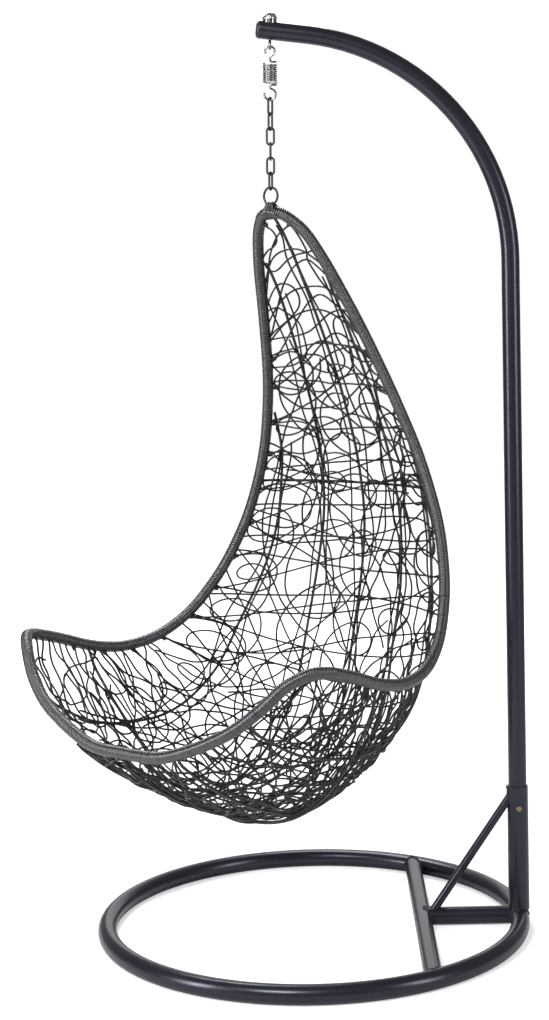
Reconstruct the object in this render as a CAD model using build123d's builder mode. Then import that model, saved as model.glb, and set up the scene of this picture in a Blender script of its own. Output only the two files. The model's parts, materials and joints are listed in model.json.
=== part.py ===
"""Hanging egg chair: a woven basket on a chain and spring, hung from a bent tube stand.

The origin is the centre of the round base on the floor, +Z is up and +X runs to the mast.
The basket has its own frame: u to its side, v to its front and z below the rim's top.
"""

import os
from math import asin, atan2, cos, degrees, radians, sin, sqrt, tan

from build123d import *

os.makedirs("parts", exist_ok=True)

# Clearances
weld_gap = 0.2          # fit-up gap at a welded end
contact_gap = 0.3       # between parts that hang in each other
thread_gap = 0.05       # radial, between a thread and its nut
hole_gap = 0.4          # radial, between a bolt and its hole

# Base and mast
ring_radius = 450.0     # centreline of the round base
ring_tube = 40.0
bar_tube = 38.0
tube_wall = 1.5
vent_hole = 8.0         # lets the closed ring breathe in the paint oven
crossbar_x = 236.0
mast_tube = 40.0
mast_corner = 1905.5    # height where the mast and arm lines meet
mast_lean = 0.6         # degrees, inward
arm_rise = 6.2          # degrees, upward to the free end
arm_length = 542.0      # from the corner to the end of the tube
arm_bend = 497.0
sleeve_bore = 41.0
sleeve_wall = 2.5
sleeve_low = 34.0
sleeve_top = 306.0
brace_tube = 18.0
brace_foot = (262.0, 0.0, 35.0)
brace_head = (426.0, 0.0, 276.0)
cap_crown = 9.0
cap_round = 8.0
cap_plug = 14.0
plug_wall = 2.8
plug_gap = 0.2

# Clamp screw through the sleeve
screw_height = 260.0
screw_size = 6.0
screw_head = 12.0
screw_head_high = 4.0
recess_long = 6.5
recess_wide = 1.3
recess_deep = 1.8
hex_nut = 10.0
hex_nut_high = 5.0
screw_proud = 2.0       # past the nut

# Eye bolt at the arm's end
bolt_from_end = 20.6    # level distance from the end of the arm's tube to the hanging line
bolt_size = 6.0
eye_wire = 5.5
eye_bore = 11.0
eye_drop = 31.5         # from the middle of the arm down to the middle of the eye
nut_dome = 16.0
nut_bore_deep = 10.0
bolt_end_gap = 1.0      # from the bolt's end to the end of the nut's bore
washer_size = 29.0
washer_proud = 4.0

# Spring
spring_wire = 4.5
hook_in = 16.1          # inner width of the upper hook
hook_bend = 10.3
hook_wrap = 210.0       # degrees of the upper hook's round part past its top
coil_across = 28.4      # across the middle of the wire
coil_pitch = 5.8
coil_turns = 8
coil_web = 1.2
leg_bend = 5.0
low_hook_in = 20.1
low_hook_bend = 4.0
low_hook_wrap = 195.0

# Chain and ring
chain_wire = 4.8
chain_inner = 10.8
chain_length = 42.2
chain_turns = (58.0, -60.0, 12.0, 90.0, -13.0, 68.0)
ring_wire = 5.0
ring_across = 37.8

# Basket
heading = 37.5          # degrees, from the stand's front towards the open side
ring_seat = 0.7         # under the hanging ring, down to the rim's wrap
wrap_size = 25.5
core_size = 16.0
core_wall = 1.5
core_gap = 0.2
rib_size = 7.0
rib_gap = 1.0
edge_gap = 0.8
weave_thick = 3.0
weave_start = 0.4       # station where the weave starts under the top of the rim
bowl_fullness = 2.3     # power of the curve across the bowl: 2 is a parabola
weave_end = 12.2        # station where the weave stops behind the front rim
lug_wide = 32.0
lug_top_wide = 24.0
lug_thick = 15.0
lug_high = 3.5

# Rail of the rim on the side, and the middle of the bowl beside it, from the top down and forward.
# Each station is the rail's (u, v, z), then the middle's (v, z), with z below the rim's top.
stations = (
    ((50, -24, -27), (-30, -33)),
    ((94, -72, -110), (-85, -110)),
    ((131, -137, -234), (-162, -234)),
    ((172, -204, -385), (-244, -385)),
    ((222, -250, -544), (-308, -544)),
    ((272, -252, -694), (-337, -694)),
    ((315, -207, -823), (-323, -832)),
    ((350, -132, -918), (-287, -976)),
    ((376, -44, -968), (-240, -1128)),
    ((391, 60, -980), (-117, -1255)),
    ((396, 160, -962), (72, -1300)),
    ((402, 250, -931), (303, -1218)),
    ((400, 328, -910), (454, -1118)),
    ((385, 364, -907), (467, -1093)),
)
rim_top = ((24, -2, 0), (64, -34, -38))
rim_front = ((349, 396, -928), (308, 421, -976), (251, 441, -1023), (175, 454, -1061), (88, 466, -1091))

# Ribs: the station where each leaves the rim, then its distance from the middle at later stations,
# as a share of the bowl's half width there
inner_rib_from = 0.7
inner_rib = {1.1: 0.783, 1.5: 0.67, 2: 0.604, 3: 0.509, 4: 0.436, 5: 0.401, 6: 0.381, 7: 0.352, 8: 0.336,
             10: 0.331, 12: 0.336, 13: 0.352}
outer_rib_from = 3.1
outer_rib = {3.5: 0.912, 4: 0.836, 4.5: 0.808, 5: 0.78, 5.5: 0.762, 6: 0.756, 7: 0.758, 8: 0.747, 9: 0.746,
             10: 0.75, 11: 0.705, 12: 0.698, 13: 0.73}
back_hoop_at = 4.48
seat_hoop_at = 10.1
seat_places = (6.5, 7.5, 8.5, 9, 9.5, 10.5, 11, 11.5, weave_end)   # more points of a rib, where it turns

# How curves are drawn
bend_share = 0.45       # most of a run that the arc at its end may take
corner_out = 0.25       # how far a corner moves out, as a share of its height over its neighbours
near_step = 0.02        # between the places that give the slope of the bowl
share_step = 0.0005     # how closely a place on the rim's edge is found

# ---------------------------------------------------------------------------------------------
# Places that follow from the sizes
ring_z = ring_tube / 2
mast_foot = Vector(ring_radius, 0, ring_z)
mast_up = Vector(-sin(radians(mast_lean)), 0, cos(radians(mast_lean)))
mast_top = mast_foot + mast_up * ((mast_corner - ring_z) / mast_up.Z)
arm_way = Vector(-cos(radians(arm_rise)), 0, sin(radians(arm_rise)))
arm_end = mast_top + arm_way * arm_length
hang_x = arm_end.X + bolt_from_end
sleeve_size = sleeve_bore + 2 * sleeve_wall
arm_z = mast_top.Z + (mast_top.X - hang_x) * tan(radians(arm_rise))
arm_crown = arm_z + mast_tube / 2 / cos(radians(arm_rise))

eye_centre = arm_z - eye_drop
eye_radius = (eye_bore + eye_wire) / 2
eye_low = eye_centre - eye_radius
nut_seat = arm_crown + washer_proud

hook_radius = (hook_in + spring_wire) / 2
hook_centre = eye_low + eye_wire / 2 + spring_wire / 2 + contact_gap - hook_radius
hook_sweep = degrees(asin(hook_bend / (hook_radius + hook_bend)))
hook_neck = hook_centre - sqrt((hook_radius + hook_bend) ** 2 - hook_bend**2)
leg_top = hook_neck - leg_bend
coil_top = leg_top - spring_wire / 2 - contact_gap
coil_high = (coil_turns - 1) * coil_pitch + spring_wire
coil_low = coil_top - coil_high
leg_low = coil_low - contact_gap - spring_wire / 2
low_neck = leg_low - leg_bend
low_hook_radius = (low_hook_in + spring_wire) / 2
low_centre = low_neck - sqrt((low_hook_radius + low_hook_bend) ** 2 - low_hook_bend**2)
low_sweep = degrees(asin(low_hook_bend / (low_hook_radius + low_hook_bend)))
low_bottom = low_centre - low_hook_radius

link_half = (chain_inner + chain_wire) / 2
link_span = chain_length - chain_wire
link_step = link_span - chain_wire - contact_gap
first_link = low_bottom + spring_wire / 2 + chain_wire / 2 + contact_gap
last_link = first_link - link_span - link_step * (len(chain_turns) - 1)
ring_high = last_link + chain_wire / 2 + ring_wire / 2 + contact_gap
ring_centre = ring_high - ring_across / 2
rim_z = ring_centre - ring_across / 2 - ring_wire / 2 - ring_seat - wrap_size / 2

basket_side = Vector(-cos(radians(heading)), sin(radians(heading)), 0)
basket_front = Vector(-sin(radians(heading)), -cos(radians(heading)), 0)


def turned(angle, height):
    """Upright plane on the hanging line, its x axis turned by angle from +X."""
    way = Vector(cos(radians(angle)), sin(radians(angle)), 0)
    return Plane(origin=(hang_x, 0, height), x_dir=way, z_dir=way.cross(Vector(0, 0, 1)))


def basket(u, v, z):
    """A point of the basket's frame in the chair's frame."""
    return Vector(hang_x, 0, rim_z + z) + basket_side * u + basket_front * v


def bend_radii(points, closed=False):
    """Radius for each corner of a path of runs: as large as its two runs allow."""
    count = len(points)
    corners = range(count) if closed else range(1, count - 1)
    radii = []
    for n in corners:
        before = points[n] - points[n - 1]
        after = points[(n + 1) % count] - points[n]
        half_turn = radians(before.get_angle(after)) / 2
        radii.append(bend_share * min(before.length, after.length) / tan(half_turn))
    return radii


def rounded_out(points):
    """Moves each corner of a path out, so that its runs touch the curve that the points lie on."""
    moved = [points[0]]
    for before, here, after in zip(points, points[1:], points[2:]):
        moved.append(here + (here - (before + after) / 2) * corner_out)
    return moved + [points[-1]]


def between(values, place):
    """Smooth value at a place between numbered values (Catmull-Rom)."""
    n = min(int(place), len(values) - 2)
    t = place - n
    here = values[n]
    there = values[n + 1]
    before = values[n - 1] if n > 0 else here * 2 - there
    after = values[n + 2] if n + 2 < len(values) else there * 2 - here
    slope = (there - before) * 0.5
    curve = before - here * 2.5 + there * 2 - after * 0.5
    twist = (here - there) * 1.5 + (after - before) * 0.5
    return here + slope * t + curve * t**2 + twist * t**3


# ---------------------------------------------------------------------------------------------
# Stand
with BuildPart() as ring_keep_out:      # the base ring's place, with the fit-up gap round it
    with BuildSketch(Plane.XZ) as keep_out_section:
        with Locations((ring_radius, ring_z)):
            Circle(ring_tube / 2 + weld_gap)
    revolve(axis=Axis.Z)

crossbar_half = sqrt(ring_radius**2 - crossbar_x**2)

with BuildPart() as base_ring:
    with BuildSketch(Plane.XZ) as ring_section:
        with Locations((ring_radius, ring_z)):
            Circle(ring_tube / 2)
            Circle(ring_tube / 2 - tube_wall, mode=Mode.SUBTRACT)
    revolve(axis=Axis.Z)
    for way in (-1, 1):
        bar_end = Vector(crossbar_x, way * crossbar_half, ring_z)
        with BuildSketch(Plane(origin=bar_end, z_dir=(0, -way, 0))):
            Circle(vent_hole / 2)
        extrude(amount=ring_tube, mode=Mode.SUBTRACT)

with BuildPart() as base_crossbar:
    with BuildSketch(Plane.XZ.offset(-crossbar_half)):
        with Locations((crossbar_x, ring_z)):
            Circle(bar_tube / 2)
            Circle(bar_tube / 2 - tube_wall, mode=Mode.SUBTRACT)
    extrude(amount=2 * crossbar_half)
    add(ring_keep_out.part, mode=Mode.SUBTRACT)

with BuildPart() as crossbar_keep_out:
    with BuildSketch(Plane.XZ.offset(-crossbar_half)):
        with Locations((crossbar_x, ring_z)):
            Circle(bar_tube / 2 + weld_gap)
    extrude(amount=2 * crossbar_half)

with BuildPart() as base_strut:
    with BuildSketch(Plane.YZ.offset(crossbar_x)):
        with Locations((0, ring_z)):
            Circle(bar_tube / 2)
            Circle(bar_tube / 2 - tube_wall, mode=Mode.SUBTRACT)
    extrude(amount=ring_radius - crossbar_x)
    add(crossbar_keep_out.part, mode=Mode.SUBTRACT)
    add(ring_keep_out.part, mode=Mode.SUBTRACT)

with BuildPart() as strut_keep_out:
    with BuildSketch(Plane.YZ.offset(crossbar_x)):
        with Locations((0, ring_z)):
            Circle(bar_tube / 2 + weld_gap)
    extrude(amount=ring_radius - crossbar_x)

sleeve_base = mast_foot + mast_up * (sleeve_low - ring_z)
sleeve_plane = Plane(origin=sleeve_base, x_dir=(0, 1, 0), z_dir=mast_up)
screw_centre = mast_foot + mast_up * (screw_height - ring_z)
screw_plane = Plane(origin=screw_centre, x_dir=(1, 0, 0), z_dir=(0, -1, 0))

with BuildPart() as mast_sleeve:
    with BuildSketch(sleeve_plane):
        Circle(sleeve_size / 2)
        Circle(sleeve_bore / 2, mode=Mode.SUBTRACT)
    extrude(amount=sleeve_top - sleeve_low)
    add(ring_keep_out.part, mode=Mode.SUBTRACT)
    add(strut_keep_out.part, mode=Mode.SUBTRACT)
    with BuildSketch(screw_plane):
        Circle(screw_size / 2 + hole_gap)
    extrude(amount=sleeve_size, both=True, mode=Mode.SUBTRACT)

with BuildPart() as sleeve_keep_out:
    with BuildSketch(sleeve_plane):
        Circle(sleeve_size / 2 + weld_gap)
    extrude(amount=sleeve_top)

with BuildPart() as diagonal_brace:
    brace_way = Vector(brace_head) - Vector(brace_foot)
    brace_start = Vector(brace_foot) - brace_way * ((brace_foot[2] - ring_z) / brace_way.Z)
    brace_reach = (mast_foot.X - brace_start.X) / brace_way.X * brace_way.length
    with BuildSketch(Plane(origin=brace_start, z_dir=brace_way)):
        Circle(brace_tube / 2)
        Circle(brace_tube / 2 - tube_wall, mode=Mode.SUBTRACT)
    extrude(amount=brace_reach)
    add(crossbar_keep_out.part, mode=Mode.SUBTRACT)
    add(strut_keep_out.part, mode=Mode.SUBTRACT)
    add(sleeve_keep_out.part, mode=Mode.SUBTRACT)

with BuildPart() as mast_arm:
    with BuildLine() as arm_line:
        FilletPolyline(mast_foot, mast_top, arm_end, radius=arm_bend)
    with BuildSketch(Plane(origin=mast_foot, z_dir=mast_up)):
        Circle(mast_tube / 2)
        Circle(mast_tube / 2 - tube_wall, mode=Mode.SUBTRACT)
    sweep(path=arm_line.line)
    with BuildSketch(Plane.XY):
        with Locations((ring_radius, 0)):
            Circle(mast_tube)
    extrude(amount=sleeve_low, mode=Mode.SUBTRACT)
    add(ring_keep_out.part, mode=Mode.SUBTRACT)
    add(strut_keep_out.part, mode=Mode.SUBTRACT)
    with BuildSketch(screw_plane):
        Circle(screw_size / 2 + hole_gap)
    extrude(amount=mast_tube, both=True, mode=Mode.SUBTRACT)
    with BuildSketch(Plane.XY.offset(arm_z)):
        with Locations((hang_x, 0)):
            Circle(bolt_size / 2 + hole_gap)
    extrude(amount=mast_tube, both=True, mode=Mode.SUBTRACT)

with BuildPart() as arm_end_cap:
    cap_plane = Plane(origin=arm_end, z_dir=arm_way)
    with BuildSketch(cap_plane.offset(weld_gap)):
        Circle(mast_tube / 2)
    extrude(amount=cap_crown)
    fillet(edges().filter_by(GeomType.CIRCLE).sort_by(Axis(arm_end, arm_way))[-1], radius=cap_round)
    with BuildSketch(cap_plane.offset(-cap_plug)):
        Circle(mast_tube / 2 - tube_wall - plug_gap)
        Circle(mast_tube / 2 - tube_wall - plug_gap - plug_wall, mode=Mode.SUBTRACT)
    extrude(amount=cap_plug + 2 * weld_gap)

with BuildPart() as sleeve_screw:
    with BuildSketch(screw_plane.offset(-sleeve_size / 2 - hex_nut_high - screw_proud)):
        Circle(screw_size / 2)
    extrude(amount=sleeve_size + hex_nut_high + screw_proud + thread_gap)
    with BuildSketch(screw_plane.offset(sleeve_size / 2 + thread_gap)):
        Circle(screw_head / 2)
    extrude(amount=screw_head_high)
    fillet(faces().sort_by(Axis.Y)[0].edges(), radius=screw_head_high / 2)
    with BuildSketch(screw_plane.offset(sleeve_size / 2 + thread_gap + screw_head_high)):
        Rectangle(recess_long, recess_wide)
        Rectangle(recess_wide, recess_long)
    extrude(amount=-recess_deep, mode=Mode.SUBTRACT)

with BuildPart() as sleeve_nut:
    with BuildSketch(screw_plane.offset(-sleeve_size / 2 - thread_gap)):
        RegularPolygon(hex_nut / 2, 6, major_radius=False)
        Circle(screw_size / 2 + thread_gap, mode=Mode.SUBTRACT)
    extrude(amount=-hex_nut_high)

# ---------------------------------------------------------------------------------------------
# Eye bolt, saddle washer and dome nut on the arm
bolt_top = nut_seat + nut_bore_deep - bolt_end_gap

with BuildPart() as eye_bolt:
    with BuildSketch(Plane.XZ):
        with Locations((hang_x, eye_centre + eye_radius)):
            Circle(eye_wire / 2)
    revolve(axis=Axis((hang_x, 0, eye_centre), (1, 0, 0)))
    with BuildSketch(Plane.XY.offset(eye_centre + eye_radius)):
        with Locations((hang_x, 0)):
            Circle(bolt_size / 2)
    extrude(amount=bolt_top - eye_centre - eye_radius)

with BuildPart() as saddle_washer:
    with BuildSketch(Plane.XY.offset(arm_z)):
        with Locations((hang_x, 0)):
            Circle(washer_size / 2)
            Circle(bolt_size / 2 + hole_gap, mode=Mode.SUBTRACT)
    extrude(amount=nut_seat - arm_z)
    with BuildSketch(Plane(origin=(hang_x, 0, arm_z), z_dir=arm_way)):
        Circle(mast_tube / 2 + thread_gap)
    extrude(amount=washer_size, both=True, mode=Mode.SUBTRACT)

with BuildPart() as dome_nut:
    with BuildSketch(Plane.XZ):
        with Locations((hang_x, nut_seat + thread_gap)):
            Circle(nut_dome)
            Rectangle(2 * nut_dome, nut_dome, align=(Align.CENTER, Align.MAX), mode=Mode.SUBTRACT)
            Rectangle(nut_dome, nut_dome, align=(Align.MAX, Align.MIN), mode=Mode.SUBTRACT)
    revolve(axis=Axis((hang_x, 0, 0), (0, 0, 1)))
    with BuildSketch(Plane.XY.offset(nut_seat)):
        with Locations((hang_x, 0)):
            Circle(bolt_size / 2 + thread_gap)
    extrude(amount=nut_bore_deep, mode=Mode.SUBTRACT)

# ---------------------------------------------------------------------------------------------
# Spring: two wire hooks and the coil between them
coil_radius = coil_across / 2

with BuildPart() as spring_upper_hook:
    with BuildLine(turned(0, hook_centre)) as upper_line:
        down = hook_centre - leg_top
        leg = Line((coil_radius, -down), (leg_bend, -down))
        bend = JernArc(leg @ 1, (-1, 0), radius=leg_bend, arc_size=-90)
        neck = JernArc(bend @ 1, (0, 1), radius=hook_bend, arc_size=-(90 - hook_sweep))
        JernArc(neck @ 1, neck % 1, radius=hook_radius, arc_size=90 - hook_sweep + hook_wrap)
    with BuildSketch(Plane(origin=upper_line.line @ 0, z_dir=upper_line.line % 0)):
        Circle(spring_wire / 2)
    sweep(path=upper_line.line)

with BuildPart() as spring_coil:
    with BuildSketch(Plane.XZ):
        for turn in range(coil_turns):
            with Locations((hang_x + coil_radius, coil_low + spring_wire / 2 + turn * coil_pitch)):
                Circle(spring_wire / 2)
        with Locations((hang_x + coil_radius, coil_low + spring_wire / 2)):
            Rectangle(coil_web, (coil_turns - 1) * coil_pitch, align=(Align.CENTER, Align.MIN))
    revolve(axis=Axis((hang_x, 0, 0), (0, 0, 1)))

with BuildPart() as spring_lower_hook:
    with BuildLine(turned(0, low_centre)) as lower_line:
        up = leg_low - low_centre
        leg = Line((coil_radius, up), (leg_bend, up))
        bend = JernArc(leg @ 1, (-1, 0), radius=leg_bend, arc_size=90)
        neck = JernArc(bend @ 1, (0, -1), radius=low_hook_bend, arc_size=90 - low_sweep)
        JernArc(neck @ 1, neck % 1, radius=low_hook_radius, arc_size=-(90 - low_sweep + low_hook_wrap))
    with BuildSketch(Plane(origin=lower_line.line @ 0, z_dir=lower_line.line % 0)):
        Circle(spring_wire / 2)
    sweep(path=lower_line.line)

# ---------------------------------------------------------------------------------------------
# Chain, hung link by link
chain = []
for number, angle in enumerate(chain_turns):
    crown = first_link - number * link_step
    link_plane = turned(angle, crown - link_span / 2)
    straight = link_span / 2 - link_half
    with BuildPart() as chain_link:
        with BuildLine(link_plane) as link_line:
            Line((link_half, -straight), (link_half, straight))
            CenterArc((0, straight), link_half, 0, 180)
            Line((-link_half, straight), (-link_half, -straight))
            CenterArc((0, -straight), link_half, 180, 180)
        link_start = link_plane.from_local_coords((link_half, -straight, 0))
        with BuildSketch(Plane(origin=link_start, z_dir=(0, 0, 1))):
            Circle(chain_wire / 2)
        sweep(path=link_line.wires()[0])
    chain_link.part.label = f"chain_link_{number + 1}"
    chain.append(chain_link.part)

# ---------------------------------------------------------------------------------------------
# Basket frame
with BuildPart() as hanging_ring:
    with BuildSketch(Plane(origin=(hang_x, 0, ring_centre), x_dir=basket_front, z_dir=basket_side)):
        with Locations((0, ring_across / 2)):
            Circle(ring_wire / 2)
    revolve(axis=Axis((hang_x, 0, ring_centre), tuple(basket_front)))

# The rim: a bent tube, wrapped all round with strand
rail = [basket(*side) for side, low in stations]
middle = [basket(0, *low) for side, low in stations]
half_rim = rim_top + tuple(side for side, low in stations[1:]) + rim_front
rim_points = [basket(u, v, z) for u, v, z in half_rim] + [basket(-u, v, z) for u, v, z in half_rim[::-1]]

with BuildLine() as rim_line:
    FilletPolyline(*rim_points, radius=bend_radii(rim_points, closed=True), close=True)
rim_path = rim_line.wires()[0]
rim_start = Plane(origin=rim_path @ 0, z_dir=rim_path % 0)

with BuildPart() as rim_wrap:
    with BuildSketch(rim_start):
        Circle(wrap_size / 2)
        Circle(core_size / 2 + core_gap, mode=Mode.SUBTRACT)
    sweep(path=rim_path)

with BuildPart() as rim_tube:
    with BuildSketch(rim_start):
        Circle(core_size / 2)
        Circle(core_size / 2 - core_wall, mode=Mode.SUBTRACT)
    sweep(path=rim_path)

# Lug that ties the hanging ring down to the top of the rim
with BuildPart() as rim_keep_out:
    with BuildSketch(rim_start):
        Circle(wrap_size / 2 + weld_gap)
    sweep(path=rim_path)

with BuildPart() as ring_lug:
    lug_low = rim_z + wrap_size / 4
    lug_up = ring_centre - ring_across / 2 - ring_wire / 2 + lug_high - lug_low
    lug_slope = degrees(atan2(lug_up, (lug_wide - lug_top_wide) / 2))
    with BuildSketch(Plane(origin=(hang_x, 0, lug_low), x_dir=basket_side, z_dir=-basket_front)):
        Trapezoid(lug_wide, lug_up, lug_slope, align=(Align.CENTER, Align.MIN))
    extrude(amount=lug_thick / 2, both=True)
    add(rim_keep_out.part, mode=Mode.SUBTRACT)
    with BuildSketch(Plane(origin=(hang_x, 0, ring_centre), x_dir=basket_front, z_dir=basket_side)):
        with Locations((0, ring_across / 2)):
            Circle(ring_wire / 2 + weld_gap)
    revolve(axis=Axis((hang_x, 0, ring_centre), tuple(basket_front)), mode=Mode.SUBTRACT)


def rim_gap(point):
    """Distance from a point to the rim's centreline, and the nearest place on it."""
    foot = rim_path.closest_points(Vertex(*point))[0]
    return (Vector(*point) - foot).length, foot


# The rail as it runs after bending, which the weave and the ribs follow
rail_run = [rim_gap(point)[1] for point in rail]


def section(place):
    """Bowl's section at a station: the point between the rails, half its width, and its lowest point."""
    rail_point = between(rail_run, place)
    half = (rail_point - Vector(hang_x, 0, 0)).dot(basket_side)
    return rail_point - basket_side * half, half, between(middle, place)


def flat_bowl(place, across):
    """Point of the weave: across runs from -1 on one rail to 1 on the other."""
    top, half, bottom = section(place)
    return top + (bottom - top) * (1 - abs(across) ** bowl_fullness) + basket_side * (half * across)


def bowl(place, across, out):
    """Point at a distance out from the weave."""
    after = min(place + near_step, len(stations) - 1)
    before = max(place - near_step, 0)
    down = flat_bowl(after, across) - flat_bowl(before, across)
    over = flat_bowl(place, across + near_step) - flat_bowl(place, across - near_step)
    return flat_bowl(place, across) + down.cross(over).normalized() * out


def leave_rim(place, target, size):
    """Where a rod on its way from a place on the rim to a target first stands clear of the wrap."""
    inside = 0.0
    clear = 1.0
    way = (target - place).normalized()
    while clear - inside > share_step:
        share = (inside + clear) / 2
        point = place + (target - place) * share
        distance, foot = rim_gap(point)
        square = (point - foot).normalized().dot(way)
        edge = distance - size / 2 * sqrt(max(0.0, 1 - square**2))
        if edge < wrap_size / 2 + weld_gap:
            inside = share
        else:
            clear = share
    return place + (target - place) * clear


def rod(points, size, label):
    """Round rod along runs joined by arcs."""
    with BuildPart() as bar:
        with BuildLine() as run:
            FilletPolyline(*points, radius=bend_radii(points))
        with BuildSketch(Plane(origin=run.line @ 0, z_dir=run.line % 0)):
            Circle(size / 2)
        sweep(path=run.line)
    bar.part.label = label
    return bar.part


def rail_place(place, side):
    """Point of the rim at a station, on one side (1 or -1)."""
    point = between(rail_run, place)
    u = (point - Vector(hang_x, 0, 0)).dot(basket_side)
    return point - basket_side * (u * (1 - side))


def rib_share(table, place):
    """Share of the half width at a station, in line between the stations of a rib's table."""
    before = max(key for key in table if key <= place)
    after = min(key for key in table if key >= place)
    if before == after:
        return table[place]
    return table[before] + (table[after] - table[before]) * (place - before) / (after - before)


rib_out = rib_size / 2 + rib_gap
front_rim_out = basket(0, *rim_front[-1][1:])


def side_rib(table, leaves_at, side):
    """Points of a rib down one side of the bowl, from the rail to the front rim."""
    places = {s for s in table if s < weave_end} | set(seat_places)
    points = rounded_out([bowl(s, side * rib_share(table, s), rib_out) for s in sorted(places)])
    last = max(table)
    front = rim_gap(bowl(last, side * table[last], rib_out))[1]
    points.insert(0, leave_rim(rail_place(leaves_at, side), points[0], rib_size))
    points.append(leave_rim(front, points[-1], rib_size))
    return points


middle_places = sorted({0.1, 0.6, 1, 2, 3, 4, 5, 6, 7, 8, 10, 12} | set(seat_places[1:]))
middle_points = rounded_out([bowl(s, 0, rib_out) for s in middle_places])
middle_points.insert(0, leave_rim(basket(0, 0, 0), middle_points[0], rib_size))
middle_points.append(leave_rim(front_rim_out, middle_points[-1], rib_size))

ribs = [
    rod(middle_points, rib_size, "centre_rib"),
    rod(side_rib(inner_rib, inner_rib_from, 1), rib_size, "inner_rib_left"),
    rod(side_rib(inner_rib, inner_rib_from, -1), rib_size, "inner_rib_right"),
    rod(side_rib(outer_rib, outer_rib_from, 1), rib_size, "outer_rib_left"),
    rod(side_rib(outer_rib, outer_rib_from, -1), rib_size, "outer_rib_right"),
]

# Hoops that cross outside the ribs, at the back and under the seat
hoop_out = rib_out + rib_size + contact_gap


def hoop(place, shares):
    """Points of a hoop round the bowl at a station, from rail to rail."""
    points = rounded_out([bowl(place, a, hoop_out) for a in shares])
    points.insert(0, leave_rim(rail_place(place, -1), points[0], rib_size))
    points.append(leave_rim(rail_place(place, 1), points[-1], rib_size))
    return points


hoop_shares = (-0.94, -0.86, -0.74, -0.6, -0.44, -0.27, -0.1, 0.1, 0.27, 0.44, 0.6, 0.74, 0.86, 0.94)
hoops = [
    rod(hoop(back_hoop_at, hoop_shares), rib_size, "back_hoop"),
    rod(hoop(seat_hoop_at, hoop_shares), rib_size, "seat_hoop"),
]


# Woven bowl: a thin shell between the rails, just inside the ribs
def edge_share(place):
    """How far across the bowl the weave goes before it meets the rim's wrap."""
    inside = 0.5
    outside = 1.0
    while outside - inside > share_step:
        share = (inside + outside) / 2
        if rim_gap(flat_bowl(place, share))[0] < wrap_size / 2 + edge_gap:
            outside = share
        else:
            inside = share
    return inside


weave_places = [weave_start] + [n / 2 for n in range(1, int(2 * weave_end) + 1)] + [weave_end]
weave_shares = [n / 5 - 1 for n in range(11)]

with BuildPart() as woven_bowl:
    for place in weave_places:
        top, half, bottom = section(place)
        fall = (bottom - top).length
        limit = edge_share(place)
        outer = []
        inner = []
        for share in weave_shares:
            across = share * limit
            x = half * across
            y = fall * (1 - abs(across) ** bowl_fullness)
            slope = -bowl_fullness * abs(across) ** (bowl_fullness - 1) * (1 if across > 0 else -1) * fall
            steep = sqrt(half**2 + slope**2)
            outer.append((x, y))
            inner.append((x + weave_thick * slope / steep, y - weave_thick * half / steep))
        with BuildSketch(Plane(origin=top, x_dir=basket_side, z_dir=basket_side.cross(bottom - top))):
            with BuildLine():
                Spline(*outer)
                Spline(*inner)
                Line(outer[0], inner[0])
                Line(outer[-1], inner[-1])
            make_face()
    loft()

# ---------------------------------------------------------------------------------------------
# Names and files
pieces = {
    "base_ring": base_ring,
    "base_crossbar": base_crossbar,
    "base_strut": base_strut,
    "mast_sleeve": mast_sleeve,
    "diagonal_brace": diagonal_brace,
    "mast_arm": mast_arm,
    "arm_end_cap": arm_end_cap,
    "sleeve_screw": sleeve_screw,
    "sleeve_nut": sleeve_nut,
    "eye_bolt": eye_bolt,
    "saddle_washer": saddle_washer,
    "dome_nut": dome_nut,
    "spring_upper_hook": spring_upper_hook,
    "spring_coil": spring_coil,
    "spring_lower_hook": spring_lower_hook,
    "hanging_ring": hanging_ring,
    "ring_lug": ring_lug,
    "rim_tube": rim_tube,
    "rim_wrap": rim_wrap,
    "woven_bowl": woven_bowl,
}
for label, piece in pieces.items():
    piece.part.label = label
    export_step(piece.part, f"parts/{label}.step")
for piece in chain + ribs + hoops:
    export_step(piece, f"parts/{piece.label}.step")
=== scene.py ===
"""Hanging egg chair: the finish of its stand, and its wound rim, strand weave, spring and welds.

Everything is in metres in the chair's own frame: the round base stands on z = 0, its mast at +X.
"""

import json
import math

import bmesh
import bpy
import numpy as np
from mathutils import Matrix, Vector
from mathutils.bvhtree import BVHTree


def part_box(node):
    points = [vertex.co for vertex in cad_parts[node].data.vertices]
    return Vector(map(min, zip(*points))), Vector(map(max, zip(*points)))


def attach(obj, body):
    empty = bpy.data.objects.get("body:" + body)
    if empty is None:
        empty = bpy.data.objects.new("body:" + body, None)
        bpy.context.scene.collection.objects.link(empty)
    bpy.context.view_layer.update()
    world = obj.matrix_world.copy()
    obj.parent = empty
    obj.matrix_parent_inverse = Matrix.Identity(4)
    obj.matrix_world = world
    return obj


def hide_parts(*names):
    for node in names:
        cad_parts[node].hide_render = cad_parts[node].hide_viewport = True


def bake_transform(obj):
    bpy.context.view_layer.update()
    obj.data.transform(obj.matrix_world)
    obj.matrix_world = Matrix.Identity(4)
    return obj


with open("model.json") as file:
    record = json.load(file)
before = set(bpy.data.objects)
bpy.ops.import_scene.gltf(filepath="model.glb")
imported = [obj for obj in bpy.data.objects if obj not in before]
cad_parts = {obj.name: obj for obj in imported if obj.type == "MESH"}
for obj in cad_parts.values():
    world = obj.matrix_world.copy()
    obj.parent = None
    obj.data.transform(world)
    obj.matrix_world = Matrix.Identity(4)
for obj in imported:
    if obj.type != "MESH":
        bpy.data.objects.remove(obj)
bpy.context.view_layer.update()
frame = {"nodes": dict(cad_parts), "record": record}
nodes = frame["nodes"]

# ---- Sizes, in metres

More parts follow.
